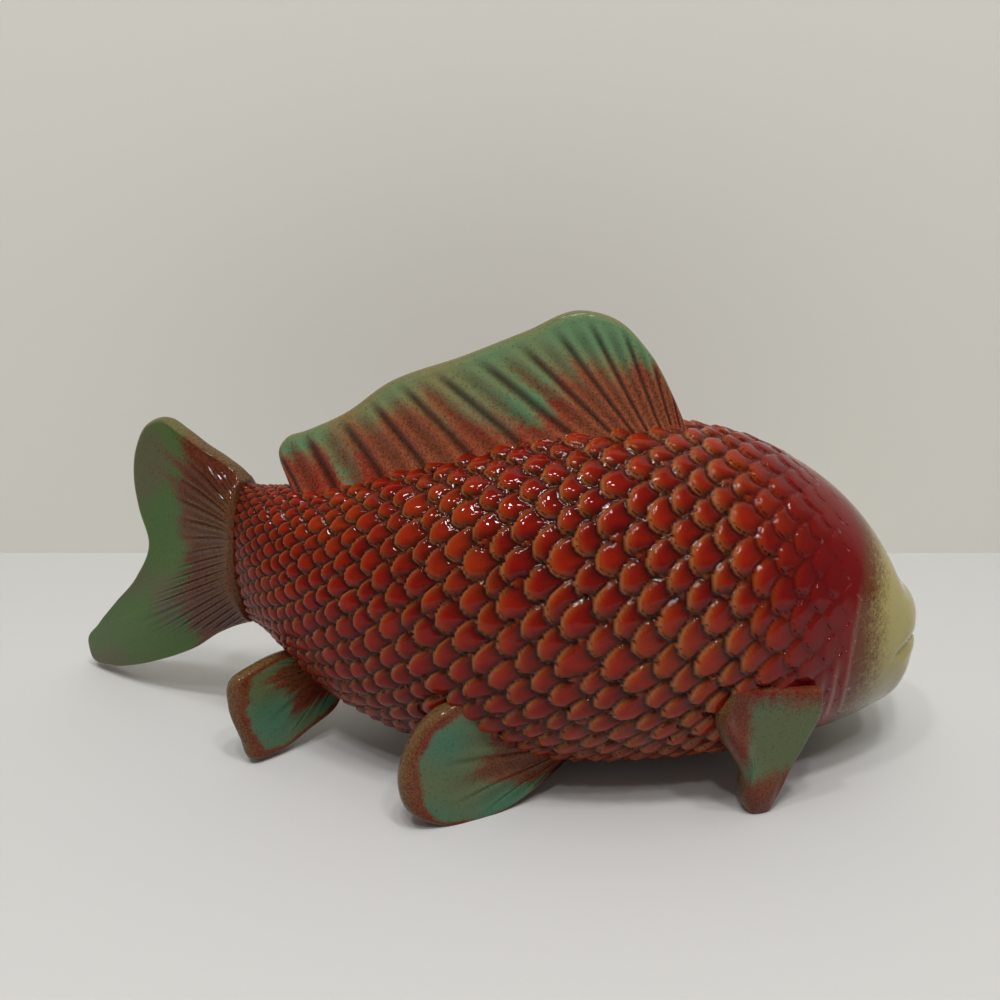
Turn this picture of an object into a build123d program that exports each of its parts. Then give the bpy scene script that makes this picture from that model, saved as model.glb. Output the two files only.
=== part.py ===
"""Carp figurine in glazed earthenware, in millimetres.

Two press-moulded body halves are luted together along the back and belly. Solid fins and eye pellets are
luted on to them, and the figure stands on its fins. +X is towards the head, +Y to the fish's left, +Z up.
"""

from build123d import *
from collections import namedtuple
from math import cos, pi, radians, sin
import os

# Body: the fish lies along an arc, so its head and tail both turn towards its left
BEND_RADIUS = 265.0
BODY_FRONT = 115.5
BODY_REAR = 100.0
BODY_DEPTH = 99.5
BODY_WIDTH = 82.0
BELLY_LIFT = 2.5
WALL = 6.0
VENT_RADIUS = 4.0
VENT_ALONG = 12.0
CAVITY_SIDES = 8

# Scales: rows round the body, length from one column to the next as a share of the rows' spacing, and lift of a free
# edge as a share of that length. The lift fades towards the gills, and plain rings go on round the head. A strip of
# so many rows stays plain on each side of the seam.
SCALE_ROWS = 30
SEAM_ROWS = 1
SPINE_STEPS = 24
SCALE_LENGTH = 0.5
SCALE_LIFT = 0.27
SCALES_REAR = -97.0
SCALES_FADE = 48.0
SCALES_FRONT = 80.0
SCALES_LAST = 72.0
HEAD_RINGS = 9

# Mouth: a crease round the snout that falls towards its corners
MOUTH_HEIGHT = 35.5
MOUTH_LENGTH = 26.0
MOUTH_FALL = 1.5
MOUTH_GAPE = 2.5
MOUTH_DEPTH = 3.0

# Eyes: low pellets pressed into shallow sockets
EYE_RADIUS = 4.0
EYE_DOME = 0.8
EYE_SEAT = 3.0
EYE_SIDES = 16
EYE_TAPER = 45.0
EYE_ALONG = 104.0
EYE_ANGLE = 62.0

# Ray grooves in the fins
RAY_RADIUS = 2.2
RAY_DEPTH = 0.8

# Dorsal fin: its reach before and behind the deepest section, and its crest above the back
DORSAL_FRONT = 38.0
DORSAL_REAR = 80.0
DORSAL_CREST = 32.0
DORSAL_ROOT_THICKNESS = 9.0
DORSAL_RIM_THICKNESS = 4.0
DORSAL_RAYS = 12
DORSAL_RAY_LEAN = 1.1
DORSAL_RAY_FOOT = 0.12
DORSAL_RAY_TOP = 0.85

# Tail fin: length behind the body, and spread of the lobes above and below the tail root
TAIL_LENGTH = 72.0
TAIL_RISE = 22.0
TAIL_DROP = 30.0
TAIL_HALF_THICKNESS = 6.0
TAIL_RIM_SHARE = 0.35
TAIL_RAYS = 7
TAIL_RAY_START = 0.1
TAIL_RAY_END = 0.34

# Pelvic fins: paddles that sweep back from the belly and stand on their lower edges
PELVIC_ALONG = 5.0
PELVIC_ANGLE = -58.0
PELVIC_SEAT = 6.0
PELVIC_LENGTH = 52.0
PELVIC_HEIGHT = 36.0
PELVIC_SPLAY = 23.0
PELVIC_LEAN = 8.0
PELVIC_HALF_THICKNESS = 3.5

# Anal fin: a fan from the keel, turned out to the fish's right
ANAL_ALONG = -71.0
ANAL_LENGTH = 29.0
ANAL_HEIGHT = 28.0
ANAL_SPLAY = 56.0
ANAL_LEAN = 8.0
ANAL_HALF_THICKNESS = 3.2

# Pectoral fins: slabs that hang from the flanks to small feet
PECTORAL_ALONG = 50.0
PECTORAL_ANGLE = -14.0
PECTORAL_WIDTH = 29.5
PECTORAL_REACH = -2.0
PECTORAL_HALF_THICKNESS = 3.8

# Bevel round the fins' rims, and depth of the flat worn on the fins where they meet the floor
RIM_BEVEL = 1.4
RIM_STEPS = 22
FOOT_TRIM = 1.0

# Body stations: share of the front or rear length, then shares of the depth for the back, the widest level
# and the keel, then share of the width
BodyStation = namedtuple("BodyStation", "along back level keel width")
BODY_STATIONS = (
    BodyStation(-1.00, 0.835, 0.565, 0.295, 0.20),
    BodyStation(-0.88, 0.775, 0.55, 0.315, 0.29),
    BodyStation(-0.67, 0.80, 0.49, 0.155, 0.51),
    BodyStation(-0.39, 0.885, 0.45, 0.04, 0.77),
    BodyStation(-0.05, 0.975, 0.45, 0.00, 0.965),
    BodyStation(0.30, 1.00, 0.45, 0.00, 1.00),
    BodyStation(0.58, 0.90, 0.42, 0.015, 0.89),
    BodyStation(0.78, 0.715, 0.36, 0.05, 0.71),
    BodyStation(0.90, 0.52, 0.30, 0.09, 0.52),
    BodyStation(0.955, 0.45, 0.325, 0.14, 0.37),
    BodyStation(0.985, 0.41, 0.33, 0.18, 0.275),
    BodyStation(1.00, 0.37, 0.335, 0.24, 0.18),
)
CAVITY_SHARES = (-0.7, 0.9)
HEAD_SHARES = (0.55, 0.99)

# Free edge of the dorsal fin from its front foot to the trailing corner: share of the front or rear reach, then
# height above the back as a share of the crest
Place = namedtuple("Place", "along up")
Ring = namedtuple("Ring", "along lift")
DORSAL_EDGE = (
    Place(1.00, -0.12), Place(0.87, 0.20), Place(0.66, 0.61), Place(0.42, 0.89), Place(0.16, 1.00),
    Place(-0.10, 0.90), Place(-0.31, 0.82), Place(-0.57, 0.77), Place(-0.74, 0.61), Place(-0.89, 0.515),
    Place(-0.97, 0.46), Place(-1.00, 0.36), Place(-0.985, 0.20), Place(-0.945, 0.00), Place(-0.93, -0.12),
)
DORSAL_ROOT = -0.4

# Tail stations: share of the length, shares of the rise and drop, then share of the thickness
TailStation = namedtuple("TailStation", "along rise drop thickness")
TAIL_STATIONS = (
    TailStation(0.00, 0.00, 0.00, 1.30),
    TailStation(0.11, 0.24, 0.13, 1.10),
    TailStation(0.22, 0.44, 0.34, 0.94),
    TailStation(0.35, 0.64, 0.53, 0.80),
    TailStation(0.54, 0.82, 0.73, 0.66),
    TailStation(0.74, 0.96, 0.92, 0.54),
    TailStation(1.02, 1.00, 0.98, 0.44),
)
# Trailing edge from the upper lobe to the lower: share of the length, then height as a share of the spread
TAIL_EDGE = (
    Place(0.20, 1.00), Place(0.27, 0.935), Place(0.35, 0.90), Place(0.41, 0.83), Place(0.435, 0.735),
    Place(0.425, 0.64), Place(0.395, 0.55), Place(0.50, 0.415), Place(0.675, 0.30), Place(0.855, 0.185),
    Place(0.97, 0.085), Place(0.975, 0.02), Place(0.91, -0.04),
)

# Outlines of the slab fins: share of the length from the root, then share of the half width
PADDLE = (
    Place(-0.08, 0.10), Place(0.06, 0.46), Place(0.21, 0.74), Place(0.40, 0.97), Place(0.62, 1.06), Place(0.80, 0.87),
    Place(0.94, 0.43), Place(1.00, -0.10), Place(0.96, -0.60), Place(0.82, -0.90), Place(0.58, -0.98),
    Place(0.38, -0.82), Place(0.18, -0.50), Place(0.00, -0.16),
)
FAN = (
    Place(-0.05, 0.50), Place(0.30, 0.92), Place(0.62, 1.02), Place(0.92, 0.94), Place(1.01, 0.50), Place(1.04, -0.30),
    Place(1.04, -0.82), Place(0.85, -1.00), Place(0.40, -1.00), Place(0.05, -0.92), Place(-0.20, -0.30),
)
LEG = (
    Place(-0.12, -0.70), Place(0.10, -1.02), Place(0.30, -0.89), Place(0.46, -0.64), Place(0.64, -0.40),
    Place(0.90, -0.33), Place(1.02, -0.10), Place(1.02, 0.12), Place(0.90, 0.31), Place(0.66, 0.52), Place(0.41, 0.78),
    Place(0.16, 1.00), Place(-0.05, 0.95), Place(-0.18, 0.20),
)


def finer(stations):
    """The stations with one more between each two, on a smooth run through them."""
    run = [stations[0]]
    for index in range(1, len(stations)):
        before = stations[max(index - 2, 0)]
        start = stations[index - 1]
        end = stations[index]
        after = stations[min(index + 1, len(stations) - 1)]
        span = end.along - start.along
        fields = []
        for past, first, last, coming in zip(before, start, end, after):
            rise_in = (last - past) / (end.along - before.along)
            rise_out = (coming - first) / (after.along - start.along)
            fields.append((first + last) / 2 + span * (rise_in - rise_out) / 8)
        run += [type(start)(*fields), end]
    return run


def reach_of(station, front, rear):
    return station.along * (front if station.along > 0 else rear)


def between(stations, front, rear, along):
    """The proportions at a place along the spine, on a straight line from one station to the next."""
    for before, after in zip(stations, stations[1:]):
        if along <= reach_of(after, front, rear):
            break
    start = reach_of(before, front, rear)
    share = (along - start) / (reach_of(after, front, rear) - start)
    return type(before)(*(a + share * (b - a) for a, b in zip(before, after)))


def spine_plane(along):
    """Upright plane square to the spine: local x points to the fish's left and local y up."""
    angle = along / BEND_RADIUS
    origin = (BEND_RADIUS * sin(angle), BEND_RADIUS * (1 - cos(angle)), 0)
    return Plane(origin, x_dir=(-sin(angle), cos(angle), 0), z_dir=(cos(angle), sin(angle), 0))


def side_plane(along):
    """Upright plane along the spine, seen from the fish's right: local x points to the head and local y up."""
    across = spine_plane(along)
    return Plane(across.origin, x_dir=across.z_dir, z_dir=-across.x_dir)


def spine_point(along, left, up):
    return spine_plane(along).from_local_coords(Vector(left, up, 0))


body_run = finer(BODY_STATIONS)


def body_at(along):
    return between(body_run, BODY_FRONT, BODY_REAR, along)


def body_level(share):
    return BELLY_LIFT + share * BODY_DEPTH


def skin_point(along, angle, side, inset=0):
    """Point on the body's skin: the angle is up from the widest level, and side is 1 for left, -1 for right."""
    station = body_at(along)
    share = station.back - station.level if sin(radians(angle)) > 0 else station.level - station.keel
    left = side * (station.width * BODY_WIDTH / 2 - inset) * cos(radians(angle))
    up = body_level(station.level) + (share * BODY_DEPTH - inset) * sin(radians(angle))
    return spine_point(along, left, up)


def closed(facets):
    """A solid closed by flat facets, each given by its corners."""
    return Solid(Shell([Face(Wire.make_polygon(corners)) for corners in facets]))


def faceted(rings):
    """A solid through rings of corners, one after another."""
    facets = [rings[0], rings[-1]]
    for ring, ahead in zip(rings, rings[1:]):
        for corner in range(len(ring)):
            facets.append((ring[corner - 1], ring[corner], ahead[corner]))
            facets.append((ring[corner - 1], ahead[corner], ahead[corner - 1]))
    return closed(facets)


def spine_steps(rear, front):
    """Places along the spine for a bend in short straight runs."""
    return [rear + (front - rear) * step / SPINE_STEPS for step in range(SPINE_STEPS + 1)]


def skin_rings():
    """Rings of the skin from the tail root to the snout: the scales' free edges, then plain rings round the head."""
    rings = [Ring(-BODY_REAR, 0)]
    along = SCALES_REAR
    while along < SCALES_LAST:
        station = body_at(along)
        length = SCALE_LENGTH * pi * (station.back - station.keel) * BODY_DEPTH / SCALE_ROWS
        fade = min((SCALES_FRONT - along) / (SCALES_FRONT - SCALES_FADE), 1)
        rings.append(Ring(along, SCALE_LIFT * length * fade))
        along += length
    for ring in range(HEAD_RINGS + 1):
        rings.append(Ring(along + (BODY_FRONT - along) * sin(pi / 2 * ring / HEAD_RINGS), 0))
    return rings


def ring_corners(ring, odd):
    """Corners of one ring as (covered, side, free) triples. Every other ring is set half a row on."""
    corners = []
    for row in range(SCALE_ROWS):
        place = row + 0.25 + odd / 2
        from_seam = min(place % (SCALE_ROWS / 2), -place % (SCALE_ROWS / 2))
        lift = ring.lift / 2 if from_seam > SEAM_ROWS else 0
        turn = 90 - place * 360 / SCALE_ROWS
        corners.append([skin_point(ring.along, turn, -1, inset) for inset in (lift, 0, -lift)])
    return corners


def scaled_body():
    """The body as a shell of flat facets: each scale rises to its free edge, which steps down to the scales behind."""
    rings = skin_rings()
    facets = []
    for index, (ring, ahead) in enumerate(zip(rings, rings[1:])):
        odd = index % 2
        corners = ring_corners(ring, odd)
        ahead_corners = ring_corners(ahead, 1 - odd)
        if index == 0:
            facets.append([side for covered, side, free in corners])
        for row, (covered, side, free) in enumerate(corners):
            upper = ahead_corners[row + odd - 1]
            lower = ahead_corners[(row + odd) % SCALE_ROWS]
            next_side = corners[(row + 1) % SCALE_ROWS][1]
            facets.append((free, upper[1], lower[1]))
            facets.append((side, next_side, lower[0]))
            for ahead_covered, ahead_side, ahead_free in (upper, lower):
                if free != side:
                    facets.append((side, free, ahead_side))
                if ahead_covered != ahead_side:
                    facets.append((side, ahead_side, ahead_covered))
    facets.append([side for covered, side, free in ahead_corners])
    return closed(facets)


def left_side():
    """All that lies to the fish's left of the seam, which follows the spine in short straight runs."""
    seam = [spine_point(along, 0, 0) for along in spine_steps(-BODY_REAR - WALL, BODY_FRONT + WALL)]
    corners = seam + [Vector(seam[-1].X, BEND_RADIUS), Vector(seam[0].X, BEND_RADIUS)]
    return extrude(make_face(Polyline(*corners, close=True)), amount=2 * BODY_DEPTH, dir=(0, 0, 1))


def head_core(inset):
    """The head drawn in by the inset: ovals whose lower half has its own depth."""
    rings = []
    for station in BODY_STATIONS:
        if HEAD_SHARES[0] <= station.along <= HEAD_SHARES[1]:
            along = reach_of(station, BODY_FRONT, BODY_REAR)
            turns = [360 * (corner + 0.5) / CAVITY_SIDES for corner in range(CAVITY_SIDES)]
            rings.append([skin_point(along, turn, -1, inset) for turn in turns])
    return faceted(rings)


def cavity():
    """The hollow: scaled copies of one oval on upright planes, so that its walls are flat."""
    deepest = max(BODY_STATIONS, key=lambda station: station.back)
    above = (deepest.back - deepest.level) * BODY_DEPTH
    below = (deepest.level - deepest.keel) * BODY_DEPTH
    rings = []
    for station in BODY_STATIONS:
        if CAVITY_SHARES[0] <= station.along <= CAVITY_SHARES[1]:
            up = (station.back - station.level) * BODY_DEPTH
            down = (station.level - station.keel) * BODY_DEPTH
            size = min(station.width, up / above, down / below) - WALL / (BODY_WIDTH / 2)
            middle = spine_point(reach_of(station, BODY_FRONT, BODY_REAR), 0, body_level(station.level))
            ring = []
            for corner in range(CAVITY_SIDES):
                turn = 2 * pi * (corner + 0.5) / CAVITY_SIDES
                rise = sin(turn) * (above if sin(turn) > 0 else below)
                ring.append(middle + Vector(0, size * BODY_WIDTH / 2 * cos(turn), size * rise))
            rings.append(ring)
    return faceted(rings)


def mouth_crease():
    """A wedge across the snout, as deep all round as the crease is."""
    wedge = Polyline(
        (MOUTH_GAPE, MOUTH_HEIGHT + MOUTH_GAPE),
        (-MOUTH_LENGTH, MOUTH_HEIGHT - MOUTH_FALL),
        (MOUTH_GAPE, MOUTH_HEIGHT - MOUTH_GAPE),
        close=True,
    )
    cut = extrude(side_plane(BODY_FRONT) * make_face(wedge), amount=BODY_WIDTH, both=True)
    return cut - head_core(MOUTH_DEPTH)


def eye(side):
    """A low pellet whose seat lies square to the skin."""
    place = skin_point(EYE_ALONG, EYE_ANGLE, side)
    outward = place - skin_point(EYE_ALONG, EYE_ANGLE, side, EYE_SEAT)
    rim = RegularPolygon(EYE_RADIUS, EYE_SIDES)
    pellet = extrude(rim, amount=-EYE_SEAT) + extrude(rim, amount=EYE_DOME, taper=EYE_TAPER)
    return Plane(place, z_dir=outward) * pellet


def traced(curve):
    """Points for short straight runs along a curve."""
    return [curve @ (step / RIM_STEPS) for step in range(RIM_STEPS + 1)]


def ray_groove(start, end):
    """A rod along a fin's face, from one point on it to another, that leaves a shallow groove."""
    rod = extrude(RegularPolygon(RAY_RADIUS, 6), amount=(end - start).length)
    return Plane(start, z_dir=end - start) * rod


def dorsal_point(along, share):
    """Height over the floor at a share of the way from the back to the dorsal fin's edge."""
    edge = between(DORSAL_EDGE[::-1], DORSAL_FRONT, DORSAL_REAR, along)
    return body_level(body_at(along).back) + edge.up * DORSAL_CREST * share


def dorsal_half_thickness(height):
    root = body_level(1) + DORSAL_ROOT * DORSAL_CREST
    share = (height - root) / (body_level(1) + DORSAL_CREST - root)
    return (DORSAL_ROOT_THICKNESS + share * (DORSAL_RIM_THICKNESS - DORSAL_ROOT_THICKNESS)) / 2


def dorsal_rays():
    """Grooves that lean back from the root of the dorsal fin, on both faces."""
    rays = []
    pitch = (DORSAL_REAR + DORSAL_FRONT) / (DORSAL_RAYS + 2)
    for ray in range(DORSAL_RAYS):
        foot = DORSAL_FRONT - (ray + 1.5) * pitch
        top = foot - (dorsal_point(foot, 1) - dorsal_point(foot, 0)) * DORSAL_RAY_LEAN
        for side in (1, -1):
            ends = []
            for along, share in ((foot, DORSAL_RAY_FOOT), (top, DORSAL_RAY_TOP)):
                up = dorsal_point(along, share)
                ends.append(spine_point(along, side * (dorsal_half_thickness(up) + RAY_RADIUS - RAY_DEPTH), up))
            rays.append(ray_groove(*ends))
    return rays


def dorsal_fin():
    """A slab bent with the back, thinner towards its edge, cut to its outline and bevelled."""
    bottom = body_level(body_at(-DORSAL_REAR).back) + DORSAL_ROOT * DORSAL_CREST
    top = body_level(1) + DORSAL_CREST
    lower = dorsal_half_thickness(bottom)
    upper = dorsal_half_thickness(top)
    rings = []
    for along in spine_steps(-DORSAL_REAR - DORSAL_ROOT_THICKNESS, DORSAL_FRONT + DORSAL_ROOT_THICKNESS):
        corners = (lower, bottom), (upper, top), (-upper, top), (-lower, bottom)
        rings.append([spine_point(along, left, up) for left, up in corners])
    edge_points = []
    for place in DORSAL_EDGE:
        along = reach_of(place, DORSAL_FRONT, DORSAL_REAR)
        edge_points.append((along, body_level(body_at(along).back) + place.up * DORSAL_CREST))
    edge = traced(Spline(*edge_points))
    outline = make_face(Polyline(*edge, (edge[-1].X, bottom - WALL), (edge[0].X, bottom - WALL), close=True))
    fin = faceted(rings) & extrude(side_plane(0) * outline, amount=DORSAL_REAR, both=True)
    return fin - dorsal_rays()


def tail_limits(station):
    """Heights of the tail fin's lower and upper edges at a station."""
    root = BODY_STATIONS[0]
    return body_level(root.keel) - station.drop * TAIL_DROP, body_level(root.back) + station.rise * TAIL_RISE


def tail_face(behind, share, side):
    """Axis point of a rod over the tail fin's face, the share of the way from the lower edge to the upper."""
    station = between(TAIL_STATIONS, 1, 1, behind)
    bottom, top = tail_limits(station)
    thinning = (1 - TAIL_RIM_SHARE) * abs(2 * share - 1)
    half_thickness = TAIL_HALF_THICKNESS * station.thickness * (1 - thinning)
    left = half_thickness + RAY_RADIUS - RAY_DEPTH
    return spine_point(-BODY_REAR - behind * TAIL_LENGTH, side * left, bottom + share * (top - bottom))


def tail_rays():
    """Grooves that fan out from the tail root, on both faces."""
    rays = []
    for ray in range(1, TAIL_RAYS + 1):
        share = ray / (TAIL_RAYS + 1)
        for side in (1, -1):
            rays.append(ray_groove(tail_face(TAIL_RAY_START, share, side), tail_face(TAIL_RAY_END, share, side)))
    return rays


def tail_fin():
    """Six-sided sections that fan out behind the body, with the trailing edge cut to two lobes."""
    rings = []
    for station in TAIL_STATIONS:
        bottom, top = tail_limits(station)
        half = TAIL_HALF_THICKNESS * station.thickness
        rim = half * TAIL_RIM_SHARE
        middle = (bottom + top) / 2
        corners = (rim, top), (-rim, top), (-half, middle), (-rim, bottom), (rim, bottom), (half, middle)
        rings.append([spine_point(-BODY_REAR - station.along * TAIL_LENGTH, left, up) for left, up in corners])
    lowest, highest = tail_limits(TailStation(1, 1, 1, 1))
    heights = [lowest + place.up * (highest - lowest) for place in TAIL_EDGE]
    edge = traced(Spline(*[(-place.along * TAIL_LENGTH, height) for place, height in zip(TAIL_EDGE, heights)]))
    outline = make_face(Polyline(*edge, (TAIL_LENGTH, edge[-1].Y), (TAIL_LENGTH, edge[0].Y), close=True))
    lobes = extrude(side_plane(-BODY_REAR) * outline, amount=TAIL_LENGTH, both=True)
    return (faceted(rings) & lobes) - tail_rays()


def slab_fin(root, tip, across, half_width, half_thickness, outline):
    """A fin cut from a slab, bevelled round its rim and level where it stands on the floor."""
    axis = tip - root
    plane = Plane(root, x_dir=axis, z_dir=axis.cross(across))
    middle = Vector(axis.length / 2, 0)
    bevelled = 1 - RIM_BEVEL / half_width
    rings = []
    for height, size in (
        (-half_thickness, bevelled), (RIM_BEVEL - half_thickness, 1), (half_thickness - RIM_BEVEL, 1),
        (half_thickness, bevelled),
    ):
        points = [Vector(place.along * axis.length, place.up * half_width) for place in outline]
        rim = Spline(*[middle + (point - middle) * size for point in points], periodic=True)
        rings.append([plane.offset(height).from_local_coords(corner) for corner in traced(rim)[1:]])
    return split(faceted(rings), bisect_by=Plane.XY, keep=Keep.TOP)


def swept_fin(root, along, side, length, height, splay, lean, half_thickness, outline):
    """A slab fin that sweeps back and out from its root and stands on its lower edge."""
    heading = along / BEND_RADIUS - side * radians(splay)
    inward = Vector(sin(heading), -cos(heading), 0) * side
    across = Vector(0, 0, cos(radians(lean))) + inward * sin(radians(lean))
    tip = root + Vector(-cos(heading), -sin(heading), 0) * length
    tip.Z = height / 2 * cos(radians(lean)) - FOOT_TRIM
    return slab_fin(root, tip, across, height / 2, half_thickness, outline)


def pelvic_fin(side):
    root = skin_point(PELVIC_ALONG, PELVIC_ANGLE, side, PELVIC_SEAT)
    return swept_fin(root, PELVIC_ALONG, side, PELVIC_LENGTH, PELVIC_HEIGHT, PELVIC_SPLAY, PELVIC_LEAN,
                     PELVIC_HALF_THICKNESS, PADDLE)


def anal_fin():
    root = spine_point(ANAL_ALONG, 0, body_level(body_at(ANAL_ALONG).keel))
    return swept_fin(root, ANAL_ALONG, -1, ANAL_LENGTH, ANAL_HEIGHT, ANAL_SPLAY, ANAL_LEAN,
                     ANAL_HALF_THICKNESS, FAN)


def pectoral_fin(side):
    """A slab that hangs from the flank, its width along the body, and narrows to a foot."""
    section = spine_plane(PECTORAL_ALONG)
    root = skin_point(PECTORAL_ALONG, PECTORAL_ANGLE, side)
    tip = root + section.x_dir * side * PECTORAL_REACH
    tip.Z = -FOOT_TRIM
    return slab_fin(root, tip, section.z_dir, PECTORAL_WIDTH / 2, PECTORAL_HALF_THICKNESS, LEG)


outer = scaled_body()
vent = Pos(*spine_point(VENT_ALONG, 0, 0)) * Cylinder(VENT_RADIUS, BODY_DEPTH / 2)
shell = outer - [cavity(), mouth_crease(), vent]
parts = {
    "dorsal_fin": dorsal_fin() - outer,
    "tail_fin": tail_fin(),
    "anal_fin": anal_fin() - outer,
}
for side, name in ((1, "left"), (-1, "right")):
    half = shell & left_side() if side == 1 else shell - left_side()
    parts[f"eye_{name}"] = eye(side)
    parts[f"body_{name}_half"] = half - parts[f"eye_{name}"]
    parts[f"pectoral_fin_{name}"] = pectoral_fin(side) - outer
    parts[f"pelvic_fin_{name}"] = pelvic_fin(side) - outer

# The origin lies on the floor, under the middle of the whole figure
middle = Compound([solid for part in parts.values() for solid in part.solids()]).bounding_box().center()
print("origin moved by", -middle.X, -middle.Y)
os.makedirs("parts", exist_ok=True)
for name, part in parts.items():
    export_step(Pos(-middle.X, -middle.Y, 0) * part, f"parts/{name}.step")
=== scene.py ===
import bmesh
import bpy
import numpy as np
from math import cos, pi, radians, sin
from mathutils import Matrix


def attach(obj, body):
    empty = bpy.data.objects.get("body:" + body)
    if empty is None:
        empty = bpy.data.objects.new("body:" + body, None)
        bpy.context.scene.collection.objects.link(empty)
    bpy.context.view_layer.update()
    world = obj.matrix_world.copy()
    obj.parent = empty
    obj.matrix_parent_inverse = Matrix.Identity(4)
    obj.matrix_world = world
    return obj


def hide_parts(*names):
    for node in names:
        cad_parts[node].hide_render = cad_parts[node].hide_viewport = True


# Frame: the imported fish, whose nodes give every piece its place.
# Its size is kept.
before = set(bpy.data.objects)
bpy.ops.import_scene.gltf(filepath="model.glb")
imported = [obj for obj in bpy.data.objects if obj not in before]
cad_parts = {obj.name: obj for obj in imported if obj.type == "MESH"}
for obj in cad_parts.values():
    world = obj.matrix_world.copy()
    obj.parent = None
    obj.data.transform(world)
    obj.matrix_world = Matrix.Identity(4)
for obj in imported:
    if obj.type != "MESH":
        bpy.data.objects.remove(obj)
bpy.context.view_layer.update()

# Body: two hollow halves of earthenware, pressed in moulds and luted along the back and the belly.
# The scales are cut into the soft clay by hand and overlap towards the tail.
# The glaze breaks pale over the edges, and the cuts are darkened in the colour: partly pooled glaze, partly painted
# shade.
MM = 0.001
bend_radius = 265.0
spine_start = (22.535, -6.041)
body_front, body_rear = 115.5, 100.0
body_depth, body_width, belly_lift = 99.5, 82.0, 2.5
snout_start, snout_blunting, snout_bulge = 95.0, 0.20, 1.5
# Share of the reach, then heights of back, widest level and keel as shares of the depth, then share of the width
body_stations = np.array([
    (-1.00, 0.775, 0.555, 0.335, 0.08),
    (-0.88, 0.775, 0.55, 0.315, 0.29),
    (-0.67, 0.80, 0.49, 0.155, 0.51),
    (-0.39, 0.885, 0.45, 0.04, 0.77),
    (-0.05, 0.975, 0.45, 0.00, 0.965),
    (0.30, 1.00, 0.45, 0.00, 1.00),
    (0.58, 0.90, 0.42, 0.015, 0.89),
    (0.78, 0.715, 0.36, 0.05, 0.71),
    (0.90, 0.52, 0.30, 0.09, 0.52),
    (0.955, 0.45, 0.325, 0.14, 0.37),
    (0.985, 0.41, 0.33, 0.18, 0.275),
    (1.00, 0.37, 0.335, 0.24, 0.18),
])


def smooth_run(table, at):
    """The table's other columns, read smoothly at any place along its first column."""
    place, value = table[:, 0], table[:, 1:]
    slope = np.gradient(value, place, axis=0)
    k = np.clip(np.searchsorted(place, at) - 1, 0, len(place) - 2)
    width = (place[k + 1] - place[k])[..., None]
    t = (at - place[k])[..., None] / width
    rise = value[k + 1] - value[k]
    return value[k] + rise * (3 - 2 * t) * t**2 + width * t * (1 - t) * (slope[k] * (1 - t) - slope[k + 1] * t)


def step(value, low, high):
    """0 below low, 1 above high, and a smooth rise between them."""
    t = np.clip((value - low) / (high - low), 0, 1)
    return t * t * (3 - 2 * t)


def spine(along, left, up):
    """Points in millimetres: along the bent spine, to the fish's left, and above the floor."""
    turn = along / bend_radius
    x = spine_start[0] + (bend_radius - left) * np.sin(turn)
    y = spine_start[1] + bend_radius - (bend_radius - left) * np.cos(turn)
    return np.stack(np.broadcast_arrays(x, y, up), axis=-1)


def body_oval(along):
    """Half width, depth above and below the widest level, and the height of that level."""
    share = np.where(along > 0, along / body_front, along / body_rear)
    back, level, keel, width = np.moveaxis(smooth_run(body_stations, share), -1, 0)
    depths = (back - level) * body_depth, (level - keel) * body_depth
    return width * body_width / 2, *depths, belly_lift + level * body_depth


def skin(along, turn, side):
    """Points on the body's skin: turn is up from the widest level, and side is 1 for left, -1 for right."""
    half_width, above, below, level = body_oval(along)
    rise = np.sin(turn) * np.where(turn > 0, above, below)
    blunt = along - snout_blunting * np.maximum(along - snout_start, 0)
    return spine(blunt, side * half_width * np.cos(turn), level + rise)


def linear(hex_colour):
    """A colour written as sRGB hex, as the linear values that shaders take."""
    channels = [int(hex_colour[i:i + 2], 16) / 255 for i in (1, 3, 5)]
    return np.array([c / 12.92 if c <= 0.04045 else ((c + 0.055) / 1.055) ** 2.4 for c in channels] + [1.0])


def blend(first, second, share):
    """Two colours in one: the share of the second, kept between 0 and 1, is given at each point."""
    return first + (second - first) * np.clip(share, 0, 1)[..., None]


def drift(points, reach, seed):
    """An uneven field between about 0 and 1, with patches about as many millimetres wide as the reach."""
    count = 24
    random = np.random.default_rng(seed)
    waves = random.normal(size=(count, 3)) * 2.2 / reach
    starts = 2 * pi * random.random(count)
    return 0.5 + sum(np.sin(points @ wave + start) for wave, start in zip(waves, starts)) / 14


def add(tree, kind, inputs=None, **settings):
    """A shader node with its settings, and its inputs set or linked."""
    new = tree.nodes.new("ShaderNode" + kind)
    for name, value in settings.items():
        setattr(new, name, value)
    for name, value in (inputs or {}).items():
        if isinstance(value, bpy.types.NodeSocket):
            tree.links.new(value, new.inputs[name])
        else:
            new.inputs[name].default_value = value
    return new


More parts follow.
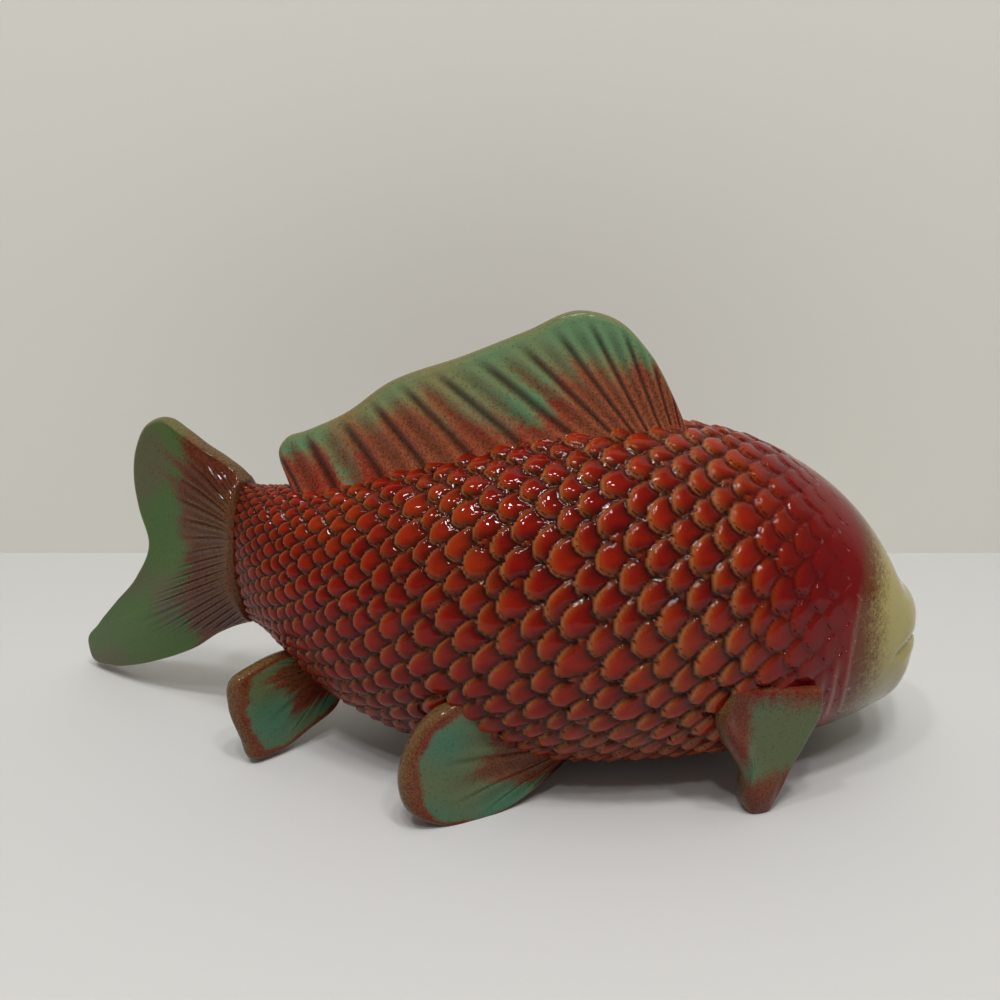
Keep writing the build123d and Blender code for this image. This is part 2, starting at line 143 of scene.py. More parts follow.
def closed_shell(name, points, marks, sharp_columns=(), on_edge=None):
    """A closed skin through a grid of points, in millimetres: its columns meet, and its end rows close up.

    Faces are split between the points that lie on a free edge, so that each edge is one clean line.
    """
    rows, columns = points.shape[:2]
    shape = bmesh.new()
    bmesh.ops.create_grid(shape, x_segments=rows - 1, y_segments=columns, size=1.0)
    kinds = {2: shape.verts.layers.float, 3: shape.verts.layers.float_color}
    layers = {mark: kinds[values.ndim].new(mark) for mark, values in marks.items()}
    column_of, edge_verts = {}, []
    for vertex in shape.verts:
        row = round((vertex.co.x + 1) / 2 * (rows - 1))
        column = round((vertex.co.y + 1) / 2 * columns) % columns
        vertex.co = points[row, column] * MM
        column_of[vertex] = column
        if on_edge is not None and on_edge[row, column]:
            edge_verts.append(vertex)
        for mark, layer in layers.items():
            vertex[layer] = marks[mark][row, column]
    for edge in shape.edges:
        first, last = (column_of[vertex] for vertex in edge.verts)
        edge.smooth = not (first == last and first in sharp_columns)
    bmesh.ops.connect_verts(shape, verts=edge_verts)
    bmesh.ops.remove_doubles(shape, verts=shape.verts, dist=1e-6)
    bmesh.ops.dissolve_degenerate(shape, dist=1e-7, edges=shape.edges)
    bmesh.ops.recalc_face_normals(shape, faces=shape.faces)
    for face in shape.faces:
        face.smooth = True
    mesh = bpy.data.meshes.new(name)
    shape.to_mesh(mesh)
    shape.free()
    piece = bpy.data.objects.new(name, mesh)
    bpy.context.scene.collection.objects.link(piece)
    return piece


# Scales: rows on each side from back to keel, and columns of free edges that close up where the body is slim
scale_rows, column_share = 15, 0.5
column_lean, scale_slant = 0.25, 0.22
scales_rear, scales_last, scales_fade, scales_front = -97.0, 72.0, 40.0, 71.0
# In shares of the rows' spacing: a scale's radius and reach, and how unevenly a hand cuts radius, edge and row
scale_radius, scale_reach = 0.53, 1.2
radius_spread, edge_spread, row_spread = 0.11, 0.40, 0.18
# Points closer to a free edge than the snap move to it, a little inside
snap, snap_inset = 0.035, 0.004
scale_rise, skin_level, crevice_depth, shade_depth = 0.19, 0.085, 0.06, 0.05
rim_width, dome_width, crevice_width, shade_width = 0.10, 0.36, 0.10, 0.30
plain_strip = 0.12
steps_per_column, steps_per_row, head_steps, snout_rows = 8, 17, 36, 9


def row_pitch(along):
    """Spacing of the rows of scales at the middle of the flank."""
    _, above, below, _ = body_oval(np.asarray(along, float))
    return pi * (above + below) / (2 * scale_rows)


free_edges = [-body_rear, scales_rear]
while free_edges[-1] < scales_last:
    free_edges.append(free_edges[-1] + column_share * float(row_pitch(free_edges[-1])))
column_count = len(free_edges) - 1
free_edges = np.array(free_edges + [body_front])
seeds = np.random.default_rng(11).random((column_count + 14, scale_rows + 4, 5))


def scale_fields(column, row, side):
    """The scale that shows at each place: how far the place lies inside its free edge and outside those in front."""
    fields = {name: np.zeros(column.shape) for name in ("edge", "slope", "tone", "to_edge_column", "to_edge_row")}
    gap = np.full(column.shape, 9.0)
    found = np.zeros(column.shape, bool)
    leaning = column + column_lean * (row - scale_rows / 2)
    base = np.floor(leaning).astype(int)
    for ahead in (1, 0, -1, -2):
        i = base + ahead
        shift = 0.25 + 0.5 * ((i % 2) if side < 0 else (1 - i % 2))
        nearest = np.round(row - shift).astype(int)
        deepest = np.zeros(column.shape)
        for beside in (-1, 0, 1):
            j = nearest + beside
            seed = seeds[np.clip(i + 5, 0, column_count + 13), np.clip(j + 1, 0, scale_rows + 3)]
            radius = scale_radius + (seed[..., 2] - 0.5) * radius_spread
            apex = i + (seed[..., 0] - 0.5) * edge_spread
            off_row = row - (j + shift + (seed[..., 1] - 0.5) * row_spread)
            off_column = (leaning - apex) * column_share - radius + scale_slant * off_row
            away = np.where(off_column < 0, np.hypot(off_column, off_row), np.abs(off_row)) + 1e-9
            inside = ~found & (away < radius) & (off_column < scale_reach)
            outside = ~found & (away >= radius) & (off_column < 0)
            nearer = outside & (away - radius < gap)
            gap = np.where(nearer, away - radius, gap)
            pick = inside & (radius - away > deepest)
            deepest = np.where(pick, radius - away, deepest)
            values = {"edge": radius - away, "slope": (leaning - apex) / 2, "tone": seed[..., 4]}
            for name, value in values.items():
                fields[name] = np.where(pick, value, fields[name])
            moves = nearer & (gap < snap) | pick & (radius - away < snap) & (off_column < 0)
            pull = (radius - snap_inset - away) / away
            to_row = off_row * pull
            to_column = (off_column * pull - scale_slant * to_row) / column_share - column_lean * to_row
            fields["to_edge_column"] = np.where(moves, to_column, fields["to_edge_column"])
            fields["to_edge_row"] = np.where(moves, to_row, fields["to_edge_row"])
        found |= deepest > 0
    fields["gap"] = gap
    return fields


# Face and belly, in millimetres
mouth_reach, mouth_heights = (88.0, 97.0, 106.0, 115.5), (36.2, 39.4, 38.0, 34.0)
mouth_depth, mouth_width, chin_pull = 1.2, 1.0, 0.8
muzzle_bulge, muzzle_height, muzzle_spread = 2.3, 46.5, 6.5
lip_rise, lip_drop, lip_spread = 0.3, 3.2, 1.9
gill_creases, gill_rise, gill_width = ((71.3, 64.0), (67.5, 46.0), (63.9, 42.0)), 0.3, 0.55
vent_along, vent_depth, vent_inner, vent_outer = 12.0, 6.0, 3.4, 4.2


def body_half(side):
    """Points of one half's skin from back to keel, row by row, and how the carving marks it, with painted shade in
    the crevices.
    """
    column_rows = np.concatenate([
        np.linspace(0, column_count, column_count * steps_per_column, endpoint=False),
        column_count + np.sin(np.linspace(0, pi / 2, head_steps)),
    ])
    row_steps = np.linspace(0, scale_rows, scale_rows * steps_per_row + 1)
    column, row = np.meshgrid(column_rows, row_steps, indexing="ij")
    # Corners of the grid close to a free edge move on to it, so that the edge is clean
    fields = scale_fields(column, row, side)
    free = (column > 0) & (column < column_count) & (row > 0) & (row < scale_rows)
    on_edge = free & (np.hypot(fields["to_edge_column"], fields["to_edge_row"]) > 0)
    column = column + fields["to_edge_column"] * free
    row = np.clip(row + fields["to_edge_row"] * free, 0, scale_rows)
    fields = scale_fields(column, row, side)
    along = np.interp(column, np.arange(len(free_edges)), free_edges)
    turn = pi / 2 - pi * row / scale_rows
    points = skin(along, turn, side)
    pitch = row_pitch(along)
    shallow = np.clip((scales_front - along) / (scales_front - scales_fade), 0, 1) * step(along, -99.5, -95)

    # Each scale rises to its free edge, rounds over there and drops into a crevice
    rim, dome = (1 - (1 - np.clip(fields["edge"] / width, 0, 1)) ** 2 for width in (rim_width, dome_width))
    rise = scale_rise * (1 - np.clip(fields["slope"], 0, 1.1)) * (0.34 + 0.40 * np.sqrt(rim) + 0.26 * dome)
    crevice, shade = (shallow * np.exp(-(fields["gap"] / width) ** 2) for width in (crevice_width, shade_width))
    relief = pitch * (shallow * (rise - skin_level) - crevice_depth * crevice - shade_depth * shade)
    relief *= step(row, 0, plain_strip) * step(scale_rows - row, 0, plain_strip)

    # Face: the muzzle over the mouth's crease, the lip under it, and the gill cover's creases
    height = points[..., 2]
    mouth_line = np.interp(along, mouth_reach, mouth_heights)
    near_mouth = step(along, 87, 92)
    relief -= chin_pull * step(along, 96, 110) * (1 - step(height, 26, 40))
    relief -= mouth_depth * near_mouth * np.exp(-((height - mouth_line) / mouth_width) ** 2)
    relief += muzzle_bulge * step(along, 90, 106) * np.exp(-((height - muzzle_height) / muzzle_spread) ** 2)
    relief += lip_rise * near_mouth * np.exp(-((height - mouth_line + lip_drop) / lip_spread) ** 2)
    gill = np.zeros_like(along)
    for front, top in gill_creases:
        crease = front + 0.007 * (height - 40) ** 2
        ends = step(height, 18, 25) * (1 - step(height, top - 10, top))
        gill += ends * np.exp(-((along - crease) / gill_width) ** 2)
    relief += gill_rise * gill
    vent = np.hypot(along - vent_along, pitch * (scale_rows - row))
    relief -= vent_depth * (1 - step(vent, vent_inner, vent_outer))

    # The relief stands out from the skin, and on the seam it stays in the plane where the halves meet
    outward = np.cross(np.gradient(points, axis=0), np.gradient(points, axis=1))
    outward *= side / np.linalg.norm(outward, axis=-1, keepdims=True)
    across = np.stack([-np.sin(along / bend_radius), np.cos(along / bend_radius), 0 * along], axis=-1)
    on_seam = ((row == 0) | (row == scale_rows))[..., None]
    outward -= across * (outward * across).sum(axis=-1, keepdims=True) * on_seam
    points = points + outward * relief[..., None]

    # Deep red runs orange towards each free edge and breaks pale on it; in front of the next scale it is darkened by
    # pooled glaze and by painted shade
    cloud = drift(points, 16, 1)
    inside = np.clip(fields["edge"] / 0.27, 0, 1) * shallow + (1 - shallow)
    dull = 1 - step(along, -100, -70) * step(scale_rows - row, 1.0, 5.5)
    band = along - 72.0 - 0.4 * np.maximum(height - 54, 0)
    over = blend(linear("#840e06"), linear("#961d07"), fields["tone"])
    over = blend(over, linear("#982e0b"), 1.6 * cloud - 0.7)
    over = blend(over, linear("#984210"), 0.9 - 1.2 * inside)
    over = blend(over, linear("#a8744a"), 0.55 - 3.2 * inside)
    over = blend(over, linear("#6a090e"), 0.85 * step(along, 40, 62))
    over = blend(over, linear("#6a3020"), 0.8 * dull * (0.1 + cloud))
    # Painted shade over the pooled glaze: the band in front of each next scale goes dark, and the crevice at its
    # foot nearly black
    over = blend(over, linear("#300603"), 0.75 * shade)
    over = blend(over, linear("#120302"), 0.95 * crevice)
    over = blend(over, linear("#a8766a"), 0.5 * gill)
    over = blend(over, linear("#6e3d22"), step(band, -1.5, 2.5))
    marks = {
        "over": over,
        "under": blend(linear("#a89b5c"), linear("#8b8470"), step(row / scale_rows, 0.48, 0.72)),
        "thin": np.clip(0.5 + 0.045 * (band - 8.5), 0, 1),
        "speck": 0.12 + 0.2 * shade + 0.3 * step(band, -2, 1) * (1 - step(band, 8, 16)),
    }
    return points, marks, on_edge


def with_ends(points, marks, on_edge):
    """The half with a flat end at the tail and a blunt one at the snout, where the mouth's crease runs on."""
    tail = points[:1].mean(axis=1, keepdims=True).repeat(points.shape[1], axis=1)
    last = points[-1:]
    middle = (last[:, :1] + last[:, -1:]) / 2
    heading = body_front / bend_radius
    ahead = np.array([cos(heading), sin(heading), 0])
    caps = []
    for share in np.linspace(1, 0, snout_rows + 1)[1:]:
        cap = middle + (last - middle) * share
        crease = mouth_depth / 2 * (1 - share) * np.exp(-((cap[..., 2:] - middle[..., 2:]) / mouth_width) ** 2)
        caps.append(cap + ahead * (snout_bulge * (1 - share ** 2) - crease))
    marks = {name: np.concatenate([m[:1], m] + [m[-1:]] * snout_rows) for name, m in marks.items()}
    no_edge = np.zeros_like(on_edge[:1])
    on_edge = np.concatenate([no_edge, on_edge] + [no_edge] * snout_rows)
    return np.concatenate([tail, points] + caps), marks, on_edge


# Widths of the flecks, the grains and the ripples in the glaze, in millimetres
fleck_width, grain_width, ripple_width = 1.6, 0.55, 9.0


def glazed(name):
    """Glazed earthenware: two colours that meet in specks, dark grains in both, and a clear gloss over them."""
    glaze = bpy.data.materials.new(name)
    glaze.use_nodes = True
    tree = glaze.node_tree
    tree.nodes.clear()
    over, under = (add(tree, "Attribute", attribute_name=mark).outputs["Color"] for mark in ("over", "under"))
    thin, speck = (add(tree, "Attribute", attribute_name=mark).outputs["Fac"] for mark in ("thin", "speck"))
    place = add(tree, "TexCoord").outputs["Object"]
    fleck = add(tree, "TexNoise", {
        "Vector": place, "Scale": 1 / (fleck_width * MM), "Detail": 3.0, "Roughness": 0.7,
    }).outputs["Fac"]
    grain, swell = (
        add(tree, "TexNoise", {"Vector": place, "Scale": 1 / (width * MM), "Detail": 2.0}).outputs["Fac"]
        for width in (grain_width, ripple_width)
    )
    worn = add(tree, "Math", {0: fleck, 1: 0.8, 2: thin}, operation="MULTIPLY_ADD").outputs[0]
    worn = add(tree, "MapRange", {"Value": worn, "From Min": 0.68, "From Max": 1.12}).outputs[0]
    colour = add(tree, "Mix", {0: worn, 6: over, 7: under}, data_type="RGBA").outputs[2]
    dark = add(tree, "Math", {0: speck, 1: 0.5, 2: grain}, operation="MULTIPLY_ADD").outputs[0]
    dark = add(tree, "MapRange", {"Value": dark, "From Min": 0.67, "From Max": 0.90, "To Max": 0.55}).outputs[0]
    colour = add(tree, "Mix", {0: dark, 6: colour, 7: linear("#180c07")}, data_type="RGBA").outputs[2]
    ripple = add(tree, "Bump", {"Height": swell, "Strength": 0.12, "Distance": MM}).outputs["Normal"]
    shader = add(tree, "BsdfPrincipled", {
        "Base Color": colour, "Roughness": 0.5, "Specular IOR Level": 0.0, "Coat Weight": 1.0, "Coat IOR": 1.30,
        "Coat Roughness": 0.02, "Normal": ripple, "Coat Normal": ripple,
    })
    add(tree, "OutputMaterial", {"Surface": shader.outputs[0]})
    return glaze


# Red-brown gloss over red earthenware, dipped: wet-looking, with sharp glints
red_glaze = glazed("red_glazed_earthenware")
for side, name in ((-1, "right"), (1, "left")):
    points, marks, on_edge = with_ends(*body_half(side))
    half = closed_shell(f"body_{name}", points, marks, (0, scale_rows * steps_per_row), on_edge)
    half.data.materials.append(red_glaze)
    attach(half, "root")
    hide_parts(f"body_{name}_half")

# Dorsal fin: a slab of clay scored and luted along the back, thinner towards its edge.
# Its rays are drawn with a tool, and the green glaze runs thin over the red near the root.
dorsal_front, dorsal_rear, dorsal_crest, dorsal_sink = 38.0, 80.0, 32.0, 4.0
dorsal_edge = np.array([
    (1.00, -0.12), (0.87, 0.20), (0.66, 0.61), (0.42, 0.89), (0.16, 1.00), (-0.10, 0.90), (-0.31, 0.82),
    (-0.57, 0.77), (-0.74, 0.61), (-0.89, 0.515), (-0.97, 0.46), (-1.00, 0.36), (-0.985, 0.20), (-0.945, 0.00),
    (-0.93, -0.12),
])


def along_line(points, count):
    """Evenly spaced points on a smooth line through the points."""
    reach = np.concatenate([[0], np.cumsum(np.linalg.norm(np.diff(points, axis=0), axis=1))])
    return smooth_run(np.column_stack([reach, points]), np.linspace(0, reach[-1], count))


fin_steps, root_radius, rim_glaze = 56, 1.5, 1.6


def fin_skin(edge, root, half_thickness, ribs, red, greens, rim_radius, place):
    """Points and marks of a fin that fans out from its root to its edge, rounded over at the rim."""
    spread = np.linalg.norm(edge - root, axis=1)[:, None]
    t = np.sin(np.linspace(0, pi / 2, fin_steps))[None, :]
    inner = np.clip((1 - t) * spread / rim_radius, 0, 1)
    outer = np.clip(t * spread / root_radius, 0, 1)
    rounded = np.sqrt(1 - (1 - inner) ** 2) * np.sqrt(1 - (1 - outer) ** 2)
    u = np.linspace(0, 1, len(edge))[:, None]
    flat = root[:, None] + (edge - root)[:, None] * t[..., None]
    rib = ribs(u, t)
    thick = half_thickness(u, t) * rounded + rib * rounded
    first = place(flat[..., 0], flat[..., 1], thick)
    second = place(flat[..., 0], flat[..., 1], -thick)
    loop = slice(None, None, -1)
    points = np.concatenate([first, second[:, loop][:, 1:-1]], axis=1)
    from_rim = (1 - t) * spread
    whole = np.ones_like(thick)
    fields = red(u, t, from_rim, flat) * whole, from_rim, np.clip(-rib / 0.5, 0, 1) * whole
    reds, from_rim, groove = (np.concatenate([field, field[:, loop][:, 1:-1]], axis=1) for field in fields)
    cloud = drift(points, 20, 2)
    over = blend(linear(greens[0]), linear(greens[1]), 2.4 * cloud - 0.7)
    under = blend(linear(greens[2]), linear(greens[3]), 2.4 * cloud - 0.7)
    rim = np.exp(-(from_rim / rim_glaze) ** 2)
    over, under = (blend(c, linear("#6e5c3a"), 0.7 * rim) for c in (over, under))
    over, under = (blend(c, linear("#24150d"), 0.8 * groove) for c in (over, under))
    thin = np.clip(0.5 + 0.35 * (reds + 2.4 * (cloud - 0.5)), 0, 1)
    marks = {"over": over, "under": under, "thin": thin, "speck": 0.22 + 0.3 * thin}
    return points, marks


def upright_place(along, up, left):
    """Places points on a fin that stands on the spine and bends with it."""
    return spine(along, left, up)


reach = np.where(dorsal_edge[:, 0] > 0, dorsal_front, dorsal_rear) * dorsal_edge[:, 0]
_, above, _, level = body_oval(reach)
dorsal_line = np.column_stack([reach, level + above + dorsal_edge[:, 1] * dorsal_crest])
outline = along_line(dorsal_line, 460)
u = np.linspace(0, 1, len(outline))
ray_feet = np.array([(0, 0), (0.29, 0.10), (0.467, 0.22), (0.717, 0.66), (0.93, 0.97), (1, 1)])
foot = dorsal_front - (dorsal_front + dorsal_rear - dorsal_sink) * smooth_run(ray_feet, u)[:, 0]
_, above, _, level = body_oval(foot)
root_line = np.column_stack([foot, level + above - dorsal_sink])
root_line[0], root_line[-1] = outline[0], outline[-1]


def rays(count, reach_in, reach_out, depth, width):
    """Narrow grooves between broad rays that fan out over a fin and fade at both ends."""
    def ribs(u, t):
        off = np.abs((count * u + 0.10 * np.sin(19 * u)) % 1 - 0.5)
        ends = step(t, 0, reach_in) * (1 - step(t, reach_out - 0.25, reach_out)) * step(u, 0.02, 0.07)
        return ends * step(1 - u, 0.02, 0.07) * depth * (0.35 * np.cos(2 * pi * off) - np.exp(-(off / width) ** 2))
    return ribs


def streaks(u, count, seed):
    """Uneven streaks that run along the rays, between about -1 and 1."""
    return np.interp(u, np.linspace(0, 1, count), np.random.default_rng(seed).uniform(-1, 1, count))


def dorsal_red(u, t, from_rim, flat):
    """Red clay shows at the root, further up at both ends of the fin, and in streaks along the rays."""
    ends = 1.5 * (1 - step(u, 0.05, 0.34)) + 1.2 * step(u, 0.60, 0.92)
    return 1.5 - 3.0 * t + ends + 0.7 * streaks(u, 60, 5)


def dorsal_thickness(u, t):
    """The slab thins towards its edge and flares where it is luted on."""
    return 3.8 - 1.8 * t + 4.5 * np.exp(-t / 0.16)


points, marks = fin_skin(
    outline, root_line, dorsal_thickness, rays(15, 0.05, 1.0, 0.8, 0.15), dorsal_red,
    ("#6e9268", "#928658", "#a03a28", "#a2583a"), 2.4, upright_place,
)
dorsal = closed_shell("dorsal", points, marks)

# Copper green gloss over red earthenware, brushed: mottled where the red shows through
green_glaze = glazed("green_glazed_earthenware")


def fix_fin(piece, node):
    """The fin rides on the body it is luted to and stands for its solid."""
    piece.data.materials.append(green_glaze)
    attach(piece, "root")
    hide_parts(node)


fix_fin(dorsal, "dorsal_fin")

# Tail fin: a slab with two lobes, luted round the tail root and bent with the body.
# Short rays are drawn outwards from the root.
tail_edge = np.array([
    (-92.0, 81.0), (-94.1, 83.8), (-100.1, 87.5), (-107.7, 91.0), (-114.8, 94.9), (-120.3, 97.3), (-126.7, 95.0),
    (-132.7, 86.9), (-135.3, 76.8), (-134.7, 66.8), (-132.1, 55.4), (-139.8, 41.6), (-152.0, 29.6), (-163.7, 18.2),
    (-171.9, 8.7), (-170.7, 3.2), (-159.9, 3.3), (-145.7, 7.5), (-135.2, 11.9), (-125.4, 16.5), (-116.2, 21.6),
    (-107.4, 28.1), (-99.2, 32.7), (-92.0, 35.5),
])
outline = along_line(tail_edge, 420)
share = np.linspace(0, 1, len(outline))[:, None]
root_line = tail_edge[0] + (tail_edge[-1] - tail_edge[0]) * share


def tail_red(u, t, from_rim, flat):
    """Red clay shows at the root, in streaks along the rays, and along the lower edge."""
    lower_edge = step(u, 0.55, 0.70) * (1 - step(from_rim, 1.5, 6.0))
    from_lobes = flat[..., 0] + 115
    return 0.22 * from_lobes + 2.2 * lower_edge + 0.7 * streaks(u, 60, 6)


def tail_thickness(u, t):
    """The tail is as thick as the body at its root and thins out over the lobes."""
    swell = np.sqrt(np.clip(1 - (2 * u - 1) ** 2, 0, 1))
    return 2.1 + (7.5 * (1 - t) ** 2.2 + 0.6) * swell


points, marks = fin_skin(
    outline, root_line, tail_thickness, rays(22, 0.15, 0.60, 0.7, 0.13), tail_red,
    ("#48642f", "#58583a", "#66301e", "#6c4226"), 2.2, upright_place,
)
tail = closed_shell("tail", points, marks)
fix_fin(tail, "tail_fin")


# Paired fins and anal fin: slabs cut to shape, luted to the skin and stood on the floor while the clay was soft.
# The pelvic fins are paddles, the anal fin is a small fan and the pectoral fins are legs with a rolled rim.
def slab_place(root, tip, across):
    """A function that places points along the fin, across it and through it, and the fin's length."""
    root, tip, across = (np.array(v, float) for v in (root, tip, across))
    axis = (tip - root) / np.linalg.norm(tip - root)
    through = np.cross(axis, across)
    through /= np.linalg.norm(through)
    across = np.cross(through, axis)

    def place(p, q, offset):
        return root + p[..., None] * axis + q[..., None] * across + np.asarray(offset)[..., None] * through
    return place, np.linalg.norm(tip - root)


def skin_place(along, angle, side, inset=0.0):
    """A point under the skin, as the solids are set out."""
    half_width, above, below, level = (float(v) for v in body_oval(np.array(along)))
    turn = radians(angle)
    left = side * (half_width - inset) * cos(turn)
    return spine(along, left, level + ((above if angle > 0 else below) - inset) * sin(turn))


foot_trim, fin_lean = 1.0, 8.0
pelvic_along, pelvic_angle, pelvic_sink = 5.0, -58.0, 6.0
pelvic_length, pelvic_width, pelvic_splay = 52.0, 36.0, 23.0
pectoral_along, pectoral_angle, pectoral_splay = 50.0, -14.0, 2.0
pectoral_length, pectoral_width = 40.0, 29.5
anal_along, anal_length, anal_width, anal_splay = -71.0, 29.0, 28.0, 56.0
# Each outline in shares of the fin's length and half its width
paddle = np.array([
    (-0.08, 0.10), (0.06, 0.46), (0.21, 0.74), (0.40, 0.97), (0.62, 1.06), (0.80, 0.87), (0.94, 0.43), (1.00, -0.10),
    (0.96, -0.60), (0.82, -0.90), (0.58, -0.98), (0.38, -0.82), (0.18, -0.50), (0.00, -0.16),
])
fan = np.array([
    (-0.05, 0.50), (0.30, 0.92), (0.62, 1.02), (0.92, 0.94), (1.01, 0.50), (1.04, -0.30), (1.04, -0.82),
    (0.85, -1.00), (0.40, -1.00), (0.05, -0.92), (-0.20, -0.30),
])
leg = np.array([
    (-0.12, -0.70), (0.10, -1.02), (0.30, -0.89), (0.46, -0.64), (0.64, -0.40), (0.90, -0.33), (1.02, -0.10),
    (1.02, 0.12), (0.90, 0.31), (0.66, 0.52), (0.41, 0.78), (0.16, 1.00), (-0.05, 0.95),
])


def swept_place(root, along, side, length, height, splay, lean):
    """Places a fin that sweeps back and out from its root and stands on its lower edge, and its length."""
    heading = along / bend_radius - side * radians(splay)
    inward = np.array([sin(heading), -cos(heading), 0]) * side
    across = np.array([0, 0, cos(radians(lean))]) + inward * sin(radians(lean))
    tip = root + np.array([-cos(heading), -sin(heading), 0]) * length
    tip[2] = height / 2 * cos(radians(lean)) - foot_trim
    return slab_place(root, tip, across)


def slab_shell(name, place, length, half_width, shape, thickness, ribs, red):
    """A closed fin from its outline, in shares of its length and half width, level where it stands."""
    outline = along_line(shape * (length, half_width), 260)
    share = np.linspace(0, 1, len(outline))[:, None]
    root_line = outline[0] * (1 - share) + outline[-1] * share
    greens = "#466c54", "#5e6646", "#70281a", "#744026"
    points, marks = fin_skin(outline, root_line, thickness, ribs, red, greens, 2.6, place)
    points[..., 2] = np.maximum(points[..., 2], 0.0)
    return closed_shell(name, points, marks)


def rolled_rim(u, t):
    """A slab dished in the middle, with a thicker rim."""
    return 2.3 + 1.1 * step(t, 0.50, 0.86)


def rolled_rear(u, t):
    """A thin slab whose rear edge and foot are rolled over."""
    return 2.0 + 2.2 * (1 - step(u, 0.48, 0.64)) * np.exp(-((t - 0.80) / 0.16) ** 2)


def bordered(u, t, from_rim, flat):
    """Red clay shows at the root and in a border along the rim."""
    return 2.0 - 4.6 * step(t, 0.25, 0.80) * step(from_rim, 1.5, 8.0) + 1.1 * streaks(u, 50, 7)


def leg_red(u, t, from_rim, flat):
    """Red clay shows at the root, on the rear rim and on the foot."""
    down, forward = flat[..., 0] / pectoral_length, flat[..., 1] / (pectoral_width / 2)
    return np.maximum(np.maximum(-8 * (forward + 0.36), 14 * (down - 0.58)), 14 * (0.05 - down)) - 0.4


def no_ribs(u, t):
    """A fin left plain."""
    return 0 * u * t


def anal_thickness(u, t):
    """A slab a little thinner at its edge."""
    return 3.0 - 0.4 * t


for side, name in ((-1, "right"), (1, "left")):
    root = skin_place(pelvic_along, pelvic_angle, side, pelvic_sink)
    place, length = swept_place(root, pelvic_along, side, pelvic_length, pelvic_width, pelvic_splay, fin_lean)
    grooves = rays(9, 0.10, 0.85, 0.4, 0.07)
    pelvic = slab_shell(
        f"pelvic_{name}", place, length, pelvic_width / 2, paddle, rolled_rim, grooves, bordered,
    )
    fix_fin(pelvic, f"pelvic_fin_{name}")

    root = skin_place(pectoral_along, pectoral_angle, side)
    heading = pectoral_along / bend_radius
    tip = root - np.array([-sin(heading), cos(heading), 0]) * side * pectoral_splay
    tip[2] = -foot_trim
    place, length = slab_place(root, tip, (cos(heading), sin(heading), 0))
    pectoral = slab_shell(
        f"pectoral_{name}", place, length, pectoral_width / 2, leg, rolled_rear, no_ribs, leg_red,
    )
    fix_fin(pectoral, f"pectoral_fin_{name}")

_, _, below, level = (float(v) for v in body_oval(np.array(anal_along)))
root = spine(anal_along, 0.0, level - below)
place, length = swept_place(root, anal_along, -1, anal_length, anal_width, anal_splay, fin_lean)
grooves = rays(7, 0.15, 0.8, 0.3, 0.08)
anal = slab_shell("anal", place, length, anal_width / 2, fan, anal_thickness, grooves, bordered)
fix_fin(anal, "anal_fin")

# Eyes: low pellets of clay pressed into the front of the face, high above the mouth.
# Each is glazed like the face and has a dark pupil, brushed on towards the front.
eye_along, eye_angle, eye_radius, eye_dome, eye_seat, eye_lift = 104.0, 62.0, 3.7, 0.8, 3.0, 0.6
pupil_radius, pupil_shift, pupil_blur = 1.5, 1.8, 0.3
# Pale gloss with a brushed dark pupil: a bright bead with a sharp glint
dark_glaze = glazed("dark_glazed_earthenware")
for side, name in ((-1, "right"), (1, "left")):
    beside_eye = [eye_along - 1, eye_along + 1], np.radians([eye_angle - 2, eye_angle + 2])
    around_eye = skin(*np.meshgrid(*beside_eye, indexing="ij"), side)
    forwards, upwards = around_eye[1, 0] - around_eye[0, 0], around_eye[0, 1] - around_eye[0, 0]
    outward = np.cross(forwards, upwards) * -side
    outward /= np.linalg.norm(outward)
    centre = around_eye.mean(axis=(0, 1)) + outward * eye_lift
    flat = np.cross(outward, (0, 0, 1))
    flat /= np.linalg.norm(flat)
    upright = np.cross(flat, outward)
    profile = [(0, -eye_seat), (eye_radius, -eye_seat), (eye_radius, 0)]
    profile += [(eye_radius * cos(a), eye_dome * sin(a)) for a in np.linspace(0.12, pi / 2, 14)]
    around = np.linspace(0, 2 * pi, 48, endpoint=False)
    rings = [
        centre + outward * h + r * (np.cos(around)[:, None] * flat + np.sin(around)[:, None] * upright)
        for r, h in profile
    ]
    heading = eye_along / bend_radius
    to_front = np.array([cos(heading), sin(heading), 0]) * pupil_shift
    from_pupil = np.linalg.norm(np.array(rings) - centre - to_front, axis=-1)
    pupil = 1 - step(from_pupil, pupil_radius - pupil_blur, pupil_radius + pupil_blur)
    coat = blend(linear("#9a9160"), linear("#1d120c"), pupil)
    marks = {"over": coat, "under": coat, "thin": 0 * pupil, "speck": 0 * pupil}
    eye = closed_shell(f"eye_bead_{name}", np.array(rings), marks)
    eye.data.materials.append(dark_glaze)
    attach(eye, "root")
    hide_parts(f"eye_{name}")

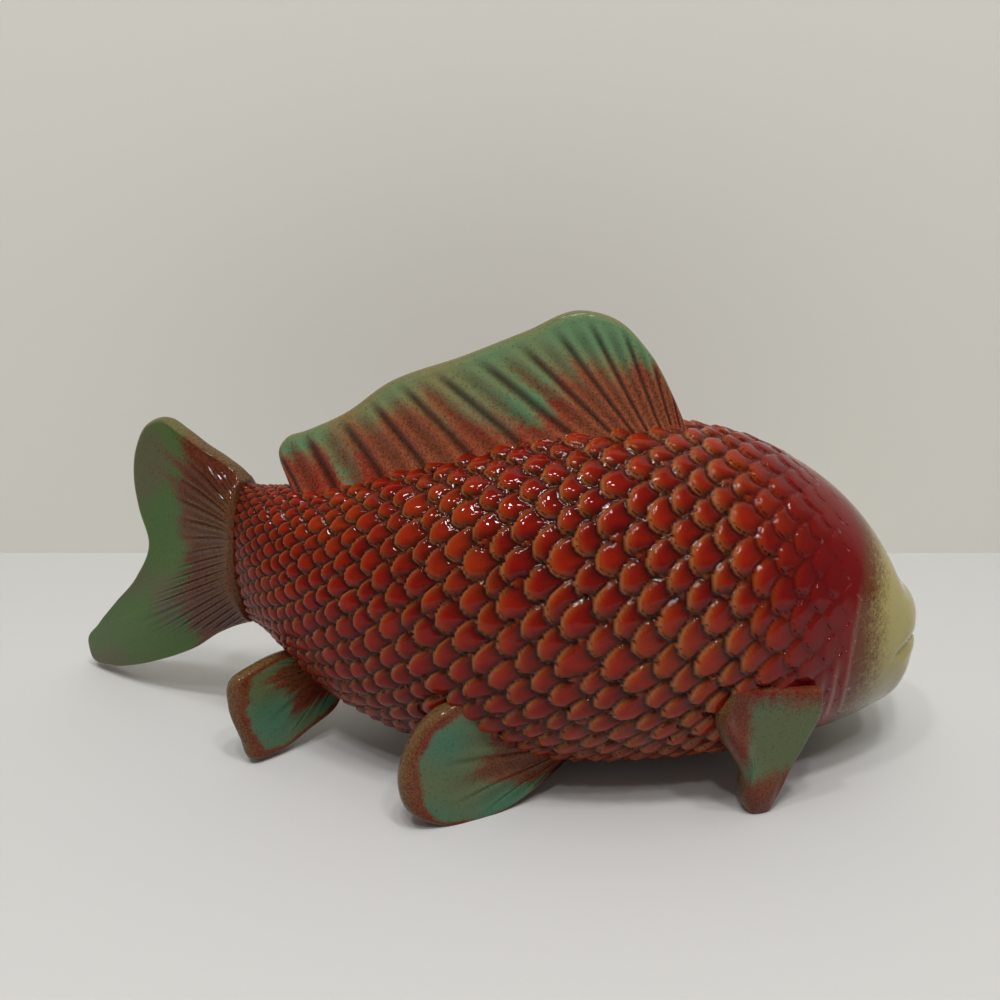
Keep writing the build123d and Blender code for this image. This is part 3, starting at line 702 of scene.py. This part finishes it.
# Stage: a sheet of pale paper on the floor and a pale wall that stands on it behind the fish.
# Both are matt and plain, and neither is part of the fish.
stage_side, stage_depth, wall_place = 2.0, 1.5, 0.152
for name, colour, corners in (
    ("paper", "#cccbc9", ((-1, -stage_depth, 0), (1, -stage_depth, 0), (1, stage_depth, 0), (-1, stage_depth, 0))),
    ("wall", "#e8e6de", ((-1, wall_place, 0), (1, wall_place, 0), (1, wall_place, 2), (-1, wall_place, 2))),
):
    shape = bmesh.new()
    shape.faces.new([shape.verts.new((x * stage_side, y, z)) for x, y, z in corners])
    mesh = bpy.data.meshes.new(name)
    shape.to_mesh(mesh)
    shape.free()
    sheet = bpy.data.objects.new(name, mesh)
    bpy.context.scene.collection.objects.link(sheet)
    # Matt paper, seen from its front alone so that the fish shows from behind the wall too
    paper = bpy.data.materials.new(f"matt_{name}")
    paper.use_nodes = True
    tree = paper.node_tree
    tree.nodes.clear()
    front = add(tree, "BsdfPrincipled", {"Base Color": linear(colour), "Roughness": 0.9}).outputs[0]
    behind = add(tree, "BsdfTransparent").outputs[0]
    facing = add(tree, "NewGeometry").outputs["Backfacing"]
    sides = add(tree, "MixShader", {0: facing, 1: front, 2: behind}).outputs[0]
    add(tree, "OutputMaterial", {"Surface": sides})
    sheet.data.materials.append(paper)

# Light: a soft even room and five small ceiling lamps, whose glints show on the scales.
# The room is paler to the camera than it is bright, so that the view past the wall stays pale.
room_light, room_seen = 0.25, 0.75
lamp_size, lamp_power = 0.12, 2.5
world = bpy.data.worlds.new("room")
bpy.context.scene.world = world
world.use_nodes = True
seen = add(world.node_tree, "LightPath").outputs["Is Camera Ray"]
strength = add(world.node_tree, "MapRange", {"Value": seen, "To Min": room_light, "To Max": room_seen}).outputs[0]
backdrop = world.node_tree.nodes["Background"]
backdrop.inputs["Color"].default_value = linear("#e8e6e0")
world.node_tree.links.new(strength, backdrop.inputs["Strength"])
for name, spot, size, power in (
    ("ceiling_soft", (0.0, -0.25, 1.5), 1.2, 6.3),
    ("ceiling_lamp_a", (-0.02, -0.46, 1.3), lamp_size, lamp_power),
    ("ceiling_lamp_b", (-0.38, -0.42, 1.3), lamp_size, lamp_power),
    ("ceiling_lamp_c", (0.20, -0.36, 1.3), lamp_size, lamp_power),
    ("ceiling_lamp_d", (0.42, -0.60, 1.3), lamp_size, lamp_power),
    ("ceiling_lamp_e", (-0.12, -0.78, 1.3), lamp_size, lamp_power),
):
    lamp = bpy.data.lights.new(name, "AREA")
    lamp.shape = "DISK"
    lamp.size = size
    lamp.energy = power
    holder = bpy.data.objects.new(name, lamp)
    holder.location = spot
    holder.visible_glossy = "soft" not in name
    bpy.context.scene.collection.objects.link(holder)

# Camera: where the photo's was, a little above the fish, level across and looking down at it.
# The lens is as long as the sensor is wide.
camera_tilt = 19.0
camera = bpy.data.cameras.new("camera")
camera.lens = 36.0
camera.sensor_width = 36.0
eye_point = bpy.data.objects.new("camera", camera)
eye_point.location = (0.007535, -0.273041, 0.172)
eye_point.rotation_euler = (radians(90 - camera_tilt), 0, 0)
bpy.context.scene.collection.objects.link(eye_point)
bpy.context.scene.camera = eye_point
bpy.context.scene.view_settings.view_transform = "Standard"
